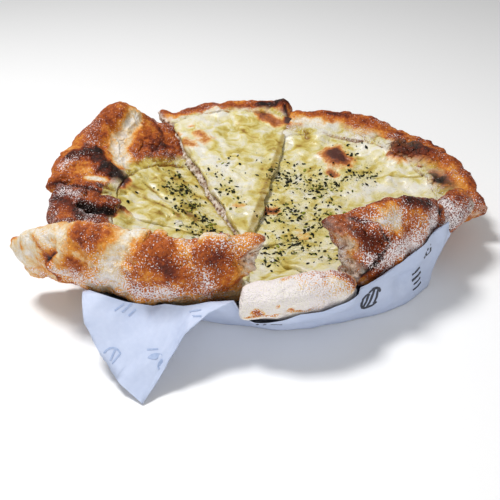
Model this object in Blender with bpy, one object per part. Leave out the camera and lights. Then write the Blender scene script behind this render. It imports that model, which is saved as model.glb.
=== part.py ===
"""Round cheese pizza bread in eight cut slices, lying dished in a sheet of greaseproof paper.

Sizes are in millimetres and turned into metres where the meshes are made. The middle of the
round is near the origin, the paper rests on Z = 0, and the front of the bread faces -Y.
"""

import math
import random

import bmesh
import bpy
from mathutils import Vector, noise
from mathutils.bvhtree import BVHTree

MM = 0.001
GAP = 0.35               # clear space left between pieces that touch
CUT_GAP = 0.35           # each slice keeps this far from its cut line
BREAD = 8.5              # thickness of the flat bread below the cheese
CHEESE = 2.6             # thickness of the melted cheese layer
PAPER = 0.6              # thickness of the paper sheet
ALONG = 11               # points from tip to crust on each side of a slice
NOSE = 4                 # points round the outer end of the crust
HERB_SEED = 7

# One entry per cut, clockwise seen from above: where the cut starts near the middle and where
# it meets the outer edge. Slices lie between one cut and the next.
CUTS = {
    "back_left_to_back": ((-17.0, -17.5), (-81.0, 122.0)),
    "back_to_back_right": ((-12.0, -18.5), (19.0, 131.0)),
    "back_right_to_right": ((-7.5, -20.0), (135.0, 9.0)),
    "right_to_front_right": ((-8.0, -22.0), (101.0, -30.0)),
    "front_right_to_front": ((-10.0, -24.0), (49.0, -86.0)),
    "front_to_front_left": ((-12.5, -24.5), (-7.0, -104.0)),
    "front_left_to_left": ((-16.5, -23.0), (-144.0, -55.0)),
    "left_to_back_left": ((-18.0, -20.0), (-143.0, 17.0)),
}

# Values with three entries are read at the left cut, the middle and the right cut, seen from
# the middle of the round. reach: distance from the inner end to the rim. rim_z: its height.
# heel: how far out, as a share of the reach, and how high the curve bends before the rim.
# crust: half thickness above and below. bumps: blisters as (across, along, size, height).
# flare: how far the two ends spread sideways from one share of the way out to another.
SLICES = {
    "back": {
        "cuts": ("back_left_to_back", "back_to_back_right"), "stations": 11, "tip_z": 12.5,
        "reach": (150, 153, 151), "rim_z": (39, 42, 41),
        "heel": ((0.55, 25), (0.55, 23), (0.55, 22)), "crust_from": 0.88,
        "crust": ((5.0, 5.0), (7.0, 6.5), (7.0, 6.5)), "edge_wave": 0.4,
        "bumps": [(0.25, 0.78, 14, 3.0), (0.62, 0.95, 12, 3.0), (0.9, 0.97, 9, 3.5)],
    },
    "back_right": {
        "cuts": ("back_to_back_right", "back_right_to_right"), "stations": 16, "tip_z": 8.5,
        "reach": (142, 159, 150), "rim_z": (40, 38, 22),
        "heel": ((0.5, 11), (0.55, 14), (0.55, 8)), "crust_from": 0.80,
        "crust": ((6.5, 6.0), (8.0, 7.0), (8.5, 8.0)), "edge_wave": 0.6,
        "bumps": [(0.2, 0.80, 12, 3.5), (0.42, 0.90, 15, 4.5), (0.6, 0.90, 13, 4.5),
                  (0.8, 0.93, 12, 4.0)],
    },
    "right": {
        "cuts": ("back_right_to_right", "right_to_front_right"), "stations": 8, "tip_z": 7.5,
        "reach": (134, 127, 112), "rim_z": (33, 37, 36),
        "heel": ((0.75, 6), (0.75, 6), (0.75, 6)), "crust_from": 0.80,
        "crust": ((9.0, 8.0), (10.0, 9.0), (9.0, 8.0)), "edge_wave": 0.5,
        "bumps": [(0.4, 0.97, 12, 3.0)],
    },
    "front_right": {
        "cuts": ("right_to_front_right", "front_right_to_front"), "stations": 12, "tip_z": 7.0,
        "reach": (106, 84, 68), "rim_z": (45, 60, 54),
        "heel": ((1.05, 5), (1.38, 8), (1.55, 12)), "crust_from": 0.62,
        "crust": ((7.0, 10.0), (8.0, 11.5), (4.5, 7.0)), "edge_wave": 1.5,
        "bumps": [(0.25, 0.95, 12, 3.0), (0.7, 0.85, 14, -2.5)],
    },
    "front": {
        "cuts": ("front_right_to_front", "front_to_front_left"), "stations": 9, "tip_z": 7.0,
        "reach": (86, 90, 86), "rim_z": (34, 42, 40),
        "heel": ((0.95, 3), (0.95, 3), (0.95, 3)), "crust_from": 0.80,
        "crust": ((4.5, 6.5), (9.0, 10.5), (5.0, 7.5)), "edge_wave": 1.0,
        "flare": [(0.84, 0.94, -3, 6)], "bumps": [(0.5, 0.95, 13, 2.5)],
    },
    "front_left": {
        "cuts": ("front_to_front_left", "front_left_to_left"), "stations": 16, "tip_z": 7.0,
        "reach": (64, 88, 126), "rim_z": (57, 52, 28),
        "heel": ((1.3, 14), (1.16, 7), (0.95, 8)), "crust_from": 0.68,
        "crust": ((6.5, 8.5), (9.0, 12.0), (12.0, 13.0)), "edge_wave": 1.0,
        "hump": (0.72, 0.2, 13), "flare": [(0.5, 0.66, -7, 0), (0.80, 0.98, 14, 0)],
        "bumps": [(0.2, 0.95, 13, 3.0), (0.5, 0.93, 15, 3.5), (0.72, 0.93, 14, 3.0)],
    },
    "left": {
        "cuts": ("front_left_to_left", "left_to_back_left"), "stations": 9, "tip_z": 7.5,
        "reach": (100, 113, 121), "rim_z": (28, 29, 32),
        "heel": ((0.7, 6), (0.7, 8), (0.7, 8)), "crust_from": 0.60,
        "crust": ((9.0, 8.0), (11.0, 9.0), (9.0, 8.0)), "edge_wave": 1.0,
        "bumps": [(0.35, 0.80, 15, 5.0), (0.75, 0.92, 13, 4.0)],
    },
    "back_left": {
        "cuts": ("left_to_back_left", "back_left_to_back"), "stations": 13, "tip_z": 8.0,
        "reach": (129, 147, 140), "rim_z": (33, 44, 33),
        "heel": ((0.6, 10), (0.6, 12), (0.6, 6)), "crust_from": 0.66,
        "crust": ((8.0, 7.5), (10.0, 9.0), (7.0, 7.0)), "edge_wave": 0.8,
        "bumps": [(0.70, 1.0, 22, 17.0), (0.86, 0.84, 17, 5.0), (0.3, 0.82, 14, 4.0)],
    },
}

# Paper outline, one entry per direction in degrees clockwise from +Y: foot radius of the wall,
# then radius and height of its top, then radius and height of the folded-over edge if it has one.
PAPER_CENTRE = (-12.0, -20.0)
PAPER_SHAPE = [
    (0, 90, 116, 14, None), (45, 88, 108, 11, None), (68, 86, 108, 9, None),
    (82, 98, 112, 9, None), (92, 108, 120, 15, None), (97, 114, 123, 30, None),
    (102, 115, 123, 46, None), (110, 108, 116, 40, None), (121, 98, 108, 34, None),
    (132, 87, 105, 32, None), (145, 79, 104, 31, None), (163, 73, 104, 30, None),
    (176, 67, 97, 31, None), (183, 66, 93, 37, None), (190, 66, 94, 36, (100, 33)),
    (195, 66, 96, 34, (111, 26)), (198, 66, 97, 33, (124, 13)), (200.5, 66, 98, 33, (140, 0.7)),
    (208, 68, 101, 33, (136, 7)), (215, 70, 108, 34, (131, 15)), (220, 71, 113, 35, (128, 25)),
    (225, 72, 116, 35, (120, 34)), (232, 72, 112, 27, None), (244, 74, 98, 8, None),
    (256, 78, 94, 3, None), (272, 78, 96, 7, None), (315, 82, 104, 12, None),
]
PAPER_TURN = 6           # degrees between two sections of the paper


def blend(values, u):
    """Quadratic through three values at u = 0, 0.5 and 1."""
    a = (1 - u) * (1 - 2 * u)
    b = 4 * u * (1 - u)
    c = u * (2 * u - 1)
    if isinstance(values[0], (tuple, list)):
        return [a * p + b * q + c * r for p, q, r in zip(*values)]
    return a * values[0] + b * values[1] + c * values[2]


def ease(low, high, value):
    """Smooth step from 0 to 1."""
    t = min(1.0, max(0.0, (value - low) / (high - low)))
    return t * t * (3 - 2 * t)


def ripple(x, y, scale, shift):
    """Smooth random value from about -1 to 1."""
    return noise.noise(Vector((x / scale + shift, y / scale - shift, shift * 1.7)))


def bumps_at(spec, u, t, width, reach):
    """Height of the blisters of a slice at one place of its upper surface."""
    total = 0.0
    for at_u, at_t, size, height in spec["bumps"]:
        far = math.hypot((u - at_u) * width, (t - at_t) * reach) / size
        total += height * math.exp(-2.2 * far * far)
    return total


def station(name, spec, u):
    """Upper and lower points of one radial section, and its outer end, all in one upright plane."""
    (left_in, left_out), (right_in, right_out) = (CUTS[cut] for cut in spec["cuts"])
    inner = Vector(left_in).lerp(Vector(right_in), u)
    first = Vector(left_out) - Vector(left_in)
    last = Vector(right_out) - Vector(right_in)
    opening = (math.atan2(last.x, last.y) - math.atan2(first.x, first.y)) % math.tau
    heading = math.atan2(first.x, first.y) + opening * u
    way = Vector((math.sin(heading), math.cos(heading)))
    reach = blend(spec["reach"], u)
    rim_z = blend(spec["rim_z"], u)
    if "hump" in spec:
        hump_at, hump_size, hump_height = spec["hump"]
        rim_z += hump_height * math.exp(-((u - hump_at) / hump_size) ** 2)
    # Every section moves a little inwards from the two cuts.
    side = Vector((way.y, -way.x))
    shift = CUT_GAP * (1 - 2 * u)
    heel_out, heel_z = blend(spec["heel"], u)
    over, under = blend(spec["crust"], u)
    seed = 3.1 * list(SLICES).index(name)
    width = (Vector(left_out) - Vector(right_out)).length

    def place(r, z, t=0.0):
        wave = spec["edge_wave"] * (0.5 + 0.5 * ripple(t * 9, u, 1.0, seed)) * (1 - 2 * u)
        if 0 < u < 1:
            wave = 0
        sideways = wave * ease(0.05, 0.3, t)
        for low, high, left, right in spec.get("flare", ()):
            near = ease(low, high, t)
            sideways += near * (right * max(0.0, 2 * u - 1) ** 2 - left * max(0.0, 1 - 2 * u) ** 2)
        move = side * (shift + sideways)
        spot = inner + way * r + move
        return Vector((spot.x, spot.y, z))

    def middle(t):
        a = (1 - t) ** 2
        b = 2 * t * (1 - t)
        c = t * t
        r = b * heel_out * reach + c * reach
        z = a * spec["tip_z"] + b * heel_z + c * rim_z
        dr = 2 * (1 - t) * heel_out * reach + 2 * t * (1 - heel_out) * reach
        dz = 2 * (1 - t) * (heel_z - spec["tip_z"]) + 2 * t * (rim_z - heel_z)
        slope = Vector((dr, dz)).normalized()
        return Vector((r, z)), Vector((-slope.y, slope.x)), slope

    upper = []
    lower = []
    lifts = []
    for k in range(ALONG):
        t = (k / (ALONG - 1)) ** 0.9
        at, normal, slope = middle(t)
        swell = ease(spec["crust_from"] - 0.12, spec["crust_from"] + 0.10, t)
        flat = BREAD / 2 * (0.85 + 0.15 * ease(0, 0.25, t))
        up = flat + (over - flat) * swell
        down = flat + (under - flat) * swell
        x, y = inner + way * at.x
        up += ripple(x, y, 17, seed) * (0.7 + 1.5 * swell) + bumps_at(spec, u, t, width, reach)
        down += ripple(x, y, 21, seed + 9) * (0.3 + 1.3 * swell)
        top = at + normal * up
        bottom = at - normal * down
        upper.append(place(top.x, top.y, t))
        lower.append(place(bottom.x, bottom.y, t))
        lifts.append(Vector((way.x * normal.x, way.y * normal.x, normal.y)))
        end = (at, normal, slope, up, down)
    at, normal, slope, up, down = end
    nose = []
    centre = at + normal * (up - down) / 2
    for k in range(1, NOSE + 1):
        turn = math.pi * k / (NOSE + 1)
        out = centre + normal * math.cos(turn) * (up + down) / 2
        out += slope * math.sin(turn) * (up + down) * 0.42
        nose.append(place(out.x, out.y, 1.0))
    return upper, nose, lower, lifts


def closed_strip(rings, name, colour, collection):
    """A solid through a row of closed rings, each paired top against bottom, with flat ends."""
    mesh = bmesh.new()
    rows = [[mesh.verts.new(point * MM) for point in ring] for ring in rings]
    count = len(rings[0])
    for first, second in zip(rows, rows[1:]):
        for k in range(count):
            after = (k + 1) % count
            four = (first[k], second[k], second[after], first[after])
            # The way back is split like the way out, so both faces of a thin layer match.
            split = ((0, 1, 2), (0, 2, 3)) if k < count // 2 else ((0, 1, 3), (1, 2, 3))
            for corners in split:
                mesh.faces.new([four[i] for i in corners])
    for row, turned in ((rows[0], False), (rows[-1], True)):
        for k in range(count // 2 - 1):
            corners = [row[k], row[k + 1], row[count - 2 - k], row[count - 1 - k]]
            for face in ((0, 1, 2), (0, 2, 3)):
                three = [corners[i] for i in face]
                mesh.faces.new(three[::-1] if turned else three)
    return finish(mesh, name, colour, collection)


def finish(mesh, name, colour, collection):
    """Turns a bmesh into an object of the collection with its own material."""
    bmesh.ops.recalc_face_normals(mesh, faces=mesh.faces)
    if mesh.calc_volume(signed=True) < 0:
        bmesh.ops.reverse_faces(mesh, faces=mesh.faces)
    data = bpy.data.meshes.new(name)
    mesh.to_mesh(data)
    mesh.free()
    made = bpy.data.objects.new(name, data)
    collection.objects.link(made)
    material = bpy.data.materials.new(name + "_material")
    material.use_nodes = True
    shader = material.node_tree.nodes["Principled BSDF"]
    shader.inputs["Base Color"].default_value = (*colour, 1)
    shader.inputs["Roughness"].default_value = 0.75
    shader.inputs["Metallic"].default_value = 0.0
    data.materials.append(material)
    return made


def herb_flake(at, up, size, turn, collection):
    """A small thin leaf chip lying on the cheese, a little sunk into it."""
    along = up.orthogonal().normalized()
    across = up.cross(along)
    ahead = along * math.cos(turn) + across * math.sin(turn)
    beside = up.cross(ahead)
    mesh = bmesh.new()
    layers = []
    for height, grow in ((-0.9, 0.8), (0.55, 1.0)):
        ring = []
        for x, y in ((-0.5, -0.12), (0.05, -0.3), (0.5, 0.02), (0.0, 0.28)):
            spot = at + ahead * x * size * grow + beside * y * size * grow + up * height
            ring.append(mesh.verts.new(spot * MM))
        layers.append(ring)
    low, high = layers
    mesh.faces.new(low[::-1])
    mesh.faces.new(high)
    for k in range(4):
        after = (k + 1) % 4
        mesh.faces.new((low[k], low[after], high[after], high[k]))
    return finish(mesh, "flake", (0.05, 0.09, 0.03), collection)


def herb_amount(x, y):
    """How thickly the herbs lie at a place of the round, from 0 to 1."""
    spots = ((-28, 25, 30), (12, 10, 32), (38, 45, 30), (-62, 52, 26), (50, 5, 30), (8, -50, 26))
    total = 0.06
    for at_x, at_y, size in spots:
        total += math.exp(-((x - at_x) ** 2 + (y - at_y) ** 2) / (size * size))
    return min(1.0, total)


def make_slice(name, spec, collection):
    """The bread of one slice and the cheese on it."""
    count = spec["stations"]
    bread = []
    cheese = []
    seed = 3.1 * list(SLICES).index(name)
    for k in range(count):
        u = k / (count - 1)
        upper, nose, lower, lifts = station(name, spec, u)
        bread.append(upper + nose + lower[::-1])
        below = []
        above = []
        for i, (point, lift) in enumerate(zip(upper, lifts)):
            t = (i / (ALONG - 1)) ** 0.9
            end = spec["crust_from"] + 0.04
            if t > end:
                break
            depth = CHEESE * (1 - 0.72 * ease(end - 0.28, end, t))
            depth += 0.9 * ripple(point.x, point.y, 11, seed + 4) * (1 - ease(end - 0.2, end, t))
            below.append(point + lift * GAP)
            above.append(point + lift * (GAP + max(0.7, depth)))
        cheese.append((above, below))
    short = min(len(above) for above, below in cheese)
    rings = [above[:short] + below[:short][::-1] for above, below in cheese]
    body = closed_strip(bread, name + "_bread", (0.78, 0.55, 0.33), collection)
    layer = closed_strip(rings, name + "_cheese", (0.85, 0.80, 0.48), collection)
    tops = [above[:short] for above, below in cheese]
    outward = [[(a - b).normalized() for a, b in zip(above, below)] for above, below in cheese]
    return body, layer, tops, outward


def scatter_herbs(tops, outward, layer, rng, wanted):
    """Joins leaf chips to a cheese layer, the largest first, and returns how many."""
    group = bpy.data.collections.new("flakes")
    bpy.context.scene.collection.children.link(group)
    picked = []
    tries = 0
    while len(picked) < wanted and tries < 4000:
        tries += 1
        i = rng.randrange(1, len(tops) - 2)
        k = rng.randrange(1, len(tops[0]) - 2)
        a, b, c = tops[i][k], tops[i + 1][k], tops[i][k + 1]
        s, w = rng.uniform(0.1, 0.45), rng.uniform(0.1, 0.45)
        at = a + (b - a) * s + (c - a) * w
        if rng.random() > herb_amount(at.x, at.y):
            continue
        if any((at - other[0]).length < 3.4 for other in picked):
            continue
        up = (b - a).cross(c - a).normalized()
        if up.dot(outward[i][k]) < 0:
            up = -up
        picked.append((at, up, rng.random()))
    picked.sort(key=lambda item: -item[2])
    for rank, (at, up, draw) in enumerate(picked):
        size = 3.4 - 1.4 * rank / max(1, len(picked) - 1)
        herb_flake(at, up, size, rng.uniform(0, 2 * math.pi), group)
    if picked:
        join = layer.modifiers.new("Herbs", "BOOLEAN")
        join.operation = "UNION"
        join.operand_type = "COLLECTION"
        join.collection = group
        join.solver = "EXACT"
        apply_modifiers(layer)
    for flake in list(group.objects):
        bpy.data.objects.remove(flake, do_unlink=True)
    bpy.data.collections.remove(group)
    return len(picked)


def apply_modifiers(made):
    """Replaces the mesh of an object by its evaluated one."""
    graph = bpy.context.evaluated_depsgraph_get()
    solid = bpy.data.meshes.new_from_object(made.evaluated_get(graph))
    made.modifiers.clear()
    made.data = solid
    while len(made.data.materials) > 1:
        made.data.materials.pop()


def paper_profile(angle):
    """Wall foot, wall top and folded edge of the paper in one direction."""
    table = PAPER_SHAPE + [(360,) + PAPER_SHAPE[0][1:]]
    for before, after in zip(table, table[1:]):
        if before[0] <= angle <= after[0]:
            break
    part = ease(before[0], after[0], angle)
    mixed = [p + (q - p) * part for p, q in zip(before[1:4], after[1:4])]
    edges = []
    for row, own in ((before, before[1:4]), (after, after[1:4])):
        edges.append(row[4] or (own[1] + 0.8, own[2] + 0.5))
    edge = [p + (q - p) * part for p, q in zip(*edges)]
    return mixed, edge


def make_paper(breads, collection):
    """Thin sheet with a flat base, a wall under the slices and one corner folded out."""
    graph = bpy.context.evaluated_depsgraph_get()
    graph.update()
    trees = [BVHTree.FromObject(body, graph) for body in breads]

    def clear_height(x, y, z, far=3.0):
        """Height kept below the slices, looking up from the ground."""
        for turn in range(9):
            dx = far * math.sin(turn * math.pi / 4) if turn < 8 else 0
            dy = far * math.cos(turn * math.pi / 4) if turn < 8 else 0
            start = Vector(((x + dx) * MM, (y + dy) * MM, -0.01))
            for tree in trees:
                hit = tree.ray_cast(start, Vector((0, 0, 1)))[0]
                if hit is not None:
                    z = min(z, hit.z / MM - (1.9 if y < 0 else 3.0))
        return z

    turns = [row[0] for row in PAPER_SHAPE]
    turns += [a for a in range(0, 360, PAPER_TURN) if min(abs(a - row[0]) for row in PAPER_SHAPE) > 2.6]
    turns.sort()
    around = len(turns)
    steps = (0.45, 0.8, 1.0, 1.35, 1.7, 2.0, 2.5, 3.0)
    rings = []
    for step in steps:
        ring = []
        for angle in turns:
            (foot, top, rise), (edge, edge_z) = paper_profile(angle)
            way = Vector((math.sin(math.radians(angle)), math.cos(math.radians(angle))))
            if step <= 1:
                r = foot * step
                z = 0.0
            elif step <= 2:
                r = foot + (top - foot) * (step - 1)
                z = rise * (step - 1) ** 1.2
            else:
                r = top + (edge - top) * (step - 2)
                z = rise + (edge_z - rise) * (step - 2)
            x = PAPER_CENTRE[0] + way.x * r
            y = PAPER_CENTRE[1] + way.y * r
            if step > 1:
                z += 0.8 * ripple(x, y, 26, 5.0) * ease(1, 2, step)
            z = max(0.0, clear_height(x, y, z))
            ring.append(Vector((x, y, z)))
        rings.append(ring)

    # Corners go down wherever the faces between them would reach a slice.
    for first, second in list(zip(rings, rings[1:])) * 2:
        for k in range(around):
            four = (first[k], first[(k + 1) % around], second[k], second[(k + 1) % around])
            for picked in ((0, 1), (0, 2), (0, 3), (1, 3), (2, 3)):
                at = (four[picked[0]] + four[picked[1]]) / 2
                excess = at.z - clear_height(at.x, at.y, at.z, 1.0)
                if excess > 0:
                    for corner in picked:
                        four[corner].z = max(0.0, four[corner].z - excess)

    # The upper face is the lower one moved along its own normals.
    normals = []
    for j, ring in enumerate(rings):
        inner_ring = rings[j - 1] if j else [Vector((*PAPER_CENTRE, 0.0))] * around
        outer_ring = rings[min(j + 1, len(rings) - 1)]
        row = []
        for k in range(around):
            out = outer_ring[k] - inner_ring[k]
            turn = ring[(k + 1) % around] - ring[k - 1]
            row.append(turn.cross(out).normalized())
        normals.append(row)

    mesh = bmesh.new()
    layers = []
    for lift in (0.0, PAPER):
        middle = mesh.verts.new(Vector((*PAPER_CENTRE, lift)) * MM)
        rows = []
        for ring, row in zip(rings, normals):
            rows.append([mesh.verts.new((p + n * lift) * MM) for p, n in zip(ring, row)])
        layers.append((middle, rows))
    for (middle, rows), turned in zip(layers, (True, False)):
        faces = []
        for k in range(around):
            after = (k + 1) % around
            faces.append((middle, rows[0][after], rows[0][k]))
            for first, second in zip(rows, rows[1:]):
                faces.append((first[k], first[after], second[after]))
                faces.append((first[k], second[after], second[k]))
        for face in faces:
            mesh.faces.new(face[::-1] if turned else face)
    low, high = layers[0][1][-1], layers[1][1][-1]
    for k in range(around):
        after = (k + 1) % around
        mesh.faces.new((low[k], low[after], high[after]))
        mesh.faces.new((low[k], high[after], high[k]))
    return finish(mesh, "paper_liner", (0.72, 0.77, 0.88), collection)


def main():
    for old in list(bpy.data.objects):
        bpy.data.objects.remove(old, do_unlink=True)
    collection = bpy.data.collections.new("cheese_pizza_bread")
    bpy.context.scene.collection.children.link(collection)
    rng = random.Random(HERB_SEED)
    herbs = {"back": 8, "back_right": 30, "right": 5, "front_right": 5, "front": 14,
             "front_left": 4, "left": 6, "back_left": 16}
    breads = []
    for name, spec in SLICES.items():
        body, layer, tops, outward = make_slice(name, spec, collection)
        breads.append(body)
        scatter_herbs(tops, outward, layer, rng, herbs[name])
    make_paper(breads, collection)


main()
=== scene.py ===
import math
import random
import bpy
import numpy as np
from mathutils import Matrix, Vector, noise
from mathutils.bvhtree import BVHTree
from mathutils.kdtree import KDTree


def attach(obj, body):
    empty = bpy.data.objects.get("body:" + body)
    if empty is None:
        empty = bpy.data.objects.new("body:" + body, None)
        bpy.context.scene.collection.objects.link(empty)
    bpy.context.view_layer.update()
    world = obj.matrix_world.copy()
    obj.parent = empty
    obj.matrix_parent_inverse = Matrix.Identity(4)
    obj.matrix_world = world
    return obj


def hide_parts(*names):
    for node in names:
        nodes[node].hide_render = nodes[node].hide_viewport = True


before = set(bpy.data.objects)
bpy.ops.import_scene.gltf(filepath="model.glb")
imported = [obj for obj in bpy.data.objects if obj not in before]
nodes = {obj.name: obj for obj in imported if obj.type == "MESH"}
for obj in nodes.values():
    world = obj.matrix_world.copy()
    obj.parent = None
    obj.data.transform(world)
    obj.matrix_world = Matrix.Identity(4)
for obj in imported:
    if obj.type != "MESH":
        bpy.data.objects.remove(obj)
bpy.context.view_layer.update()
scene = bpy.context.scene
mm = 0.001
down = Vector((0, 0, -1))

# small helpers


def linear(code):
    values = []
    for start in (1, 3, 5):
        v = int(code[start:start + 2], 16) / 255
        values.append(v / 12.92 if v <= 0.04045 else ((v + 0.055) / 1.055) ** 2.4)
    return (*values, 1.0)


def addNode(tree, kind, settings=None, values=None, links=None, out=0):
    # one node with its settings, values and links; what comes back is one of its outputs
    node = tree.nodes.new(kind)
    for key, value in (settings or {}).items():
        if key == "stops":
            while len(node.color_ramp.elements) < len(value):
                node.color_ramp.elements.new(0.5)
            for element, (at, colour) in zip(node.color_ramp.elements, value):
                element.position = at
                element.color = linear(colour)
        else:
            setattr(node, key, value)
    for key, value in (values or {}).items():
        node.inputs[key].default_value = value
    for key, socket in (links or {}).items():
        tree.links.new(socket, node.inputs[key])
    return node.outputs[out]


def newMaterial(name):
    material = bpy.data.materials.new(name)
    material.use_nodes = True
    tree = material.node_tree
    place = addNode(tree, "ShaderNodeTexCoord", out="Object")
    return material, tree, tree.nodes["Principled BSDF"], place


def finishSurface(tree, shader, look, colour, worn, height):
    # every material ends alike: its colour, a roughness that varies and a fine relief
    rough = addNode(tree, "ShaderNodeMapRange", values=look["rough"], links={"Value": worn})
    bump = addNode(tree, "ShaderNodeBump", values=look["bump"], links={"Height": height})
    for name, socket in (("Base Color", colour), ("Roughness", rough), ("Normal", bump)):
        tree.links.new(socket, shader.inputs[name])
    for name, value in look.get("shader", {}).items():
        shader.inputs[name].default_value = value


def activate(piece):
    bpy.ops.object.select_all(action="DESELECT")
    piece.select_set(True)
    bpy.context.view_layer.objects.active = piece


def applyModifiers(piece):
    activate(piece)
    for modifier in list(piece.modifiers):
        bpy.ops.object.modifier_apply(modifier=modifier.name)


def editAll(piece, operator, **settings):
    activate(piece)
    bpy.ops.object.mode_set(mode="EDIT")
    bpy.ops.mesh.select_all(action="SELECT")
    operator(**settings)
    bpy.ops.object.mode_set(mode="OBJECT")


def workCopy(nodeName, pieceName):
    node = nodes[nodeName]
    piece = node.copy()
    piece.data = node.data.copy()
    piece.name = piece.data.name = pieceName
    scene.collection.objects.link(piece)
    piece.parent = None
    piece.matrix_world = node.matrix_world
    piece.hide_render = False
    piece.data.materials.clear()
    activate(piece)
    bpy.ops.object.transform_apply(location=True, rotation=True, scale=True)
    editAll(piece, bpy.ops.mesh.remove_doubles, threshold=0.00001)
    return piece


def newPiece(name, corners, faces):
    data = bpy.data.meshes.new(name)
    data.from_pydata([tuple(corner) for corner in corners], [], faces)
    data.update()
    piece = bpy.data.objects.new(name, data)
    scene.collection.objects.link(piece)
    return piece


def treeOf(piece):
    return BVHTree.FromObject(piece, bpy.context.evaluated_depsgraph_get())


def roughen(piece, look, rough=1.0):
    # remeshed fine and softened, then raised by one noise after another
    remesh = piece.modifiers.new("remesh", "REMESH")
    remesh.mode = "VOXEL"
    remesh.voxel_size = look["voxel"] * mm
    smooth = piece.modifiers.new("soften", "SMOOTH")
    smooth.iterations = look["smooth"]
    for name, (size, height, depth) in look["relief"].items():
        texture = bpy.data.textures.new(name, "CLOUDS")
        texture.noise_scale = size * mm
        texture.noise_depth = depth
        modifier = piece.modifiers.new(name, "DISPLACE")
        modifier.texture = texture
        modifier.texture_coords = "LOCAL"
        modifier.strength = height * rough * mm
        modifier.mid_level = 0.5
    applyModifiers(piece)
    return pointsOf(piece), normalsOf(piece)


def pointsOf(piece):
    flat = np.empty(len(piece.data.vertices) * 3, np.float32)
    piece.data.vertices.foreach_get("co", flat)
    return flat.reshape(-1, 3).astype(np.float64) / mm


def normalsOf(piece):
    flat = np.empty(len(piece.data.vertices) * 3, np.float32)
    piece.data.vertex_normals.foreach_get("vector", flat)
    return flat.reshape(-1, 3).astype(np.float64)


def setPoints(piece, points):
    piece.data.vertices.foreach_set("co", (points * mm).astype(np.float32).ravel())
    piece.data.update()


def setAttributes(piece, **found):
    for name, values in found.items():
        layer = piece.data.attributes.new(name, "FLOAT", "POINT")
        layer.data.foreach_set("value", np.clip(values, -1, 2).astype(np.float32))


def ripple(points, size, shift):
    return np.array([noise.noise(point) for point in (points / size + shift).tolist()])


def ease(low, high, value):
    t = np.clip((value - low) / (high - low), 0, 1)
    return t * t * (3 - 2 * t)


def nearSegment(points, a, b):
    a, b = np.array(a, float), np.array(b, float)
    ab = b - a
    t = np.clip((points - a) @ ab / max(ab @ ab, 1e-9), 0, 1)
    return np.linalg.norm(points - (a + t[:, None] * ab), axis=1)


def hollowOf(piece, points, normals, rounds=14, deepest=1.2):
    # how deep every point lies below its smoothed surroundings, in mm
    flat = np.empty(len(piece.data.edges) * 2, np.int32)
    piece.data.edges.foreach_get("vertices", flat)
    a, b = flat[0::2], flat[1::2]
    count = len(points)
    degree = np.bincount(a, minlength=count) + np.bincount(b, minlength=count)
    soft = points.copy()
    for _ in range(rounds):
        total = np.empty_like(soft)
        for axis in range(3):
            total[:, axis] = np.bincount(a, soft[b, axis], count) + np.bincount(b, soft[a, axis], count)
        soft = total / np.maximum(degree, 1)[:, None]
    return np.clip(np.einsum("ij,ij->i", soft - points, normals), -deepest, deepest)


def finishPiece(piece, material, slot, *replaced):
    piece.data.materials.clear()
    piece.data.materials.append(material)
    activate(piece)
    bpy.ops.object.shade_smooth()
    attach(piece, "root")
    if replaced:
        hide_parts(*replaced)


# where each slice was cut

# start and end of every cut in mm, seen from above, as the solids have them, then how far the
# slice before it and the slice after it draw back (minus: spread under their neighbour)
cutLines = {
    ("back_left", "back"): ((-17.0, -17.5), (-81.0, 122.0), -5.5, 0.9),
    ("back", "back_right"): ((-12.0, -18.5), (19.0, 131.0), -1.5, -2.4),
    ("back_right", "right"): ((-7.5, -20.0), (135.0, 9.0), -2.0, -2.0),
    ("right", "front_right"): ((-8.0, -22.0), (101.0, -30.0), -2.0, -1.6),
    ("front_right", "front"): ((-10.0, -24.0), (49.0, -86.0), 0.35, -0.6),
    ("front", "front_left"): ((-12.5, -24.5), (-7.0, -104.0), -0.4, 0.6),
    ("front_left", "left"): ((-16.5, -23.0), (-144.0, -55.0), 0.25, -0.4),
    ("left", "back_left"): ((-18.0, -20.0), (-143.0, 17.0), -0.3, -0.5),
}
# the cuts beside the wedge on top, which lie in shadow; elsewhere the cheese has run together
shownCuts = (("back_left", "back"), ("back", "back_right"))
middle = (-14, -20)  # where the cuts meet, seen from above, in mm

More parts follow.
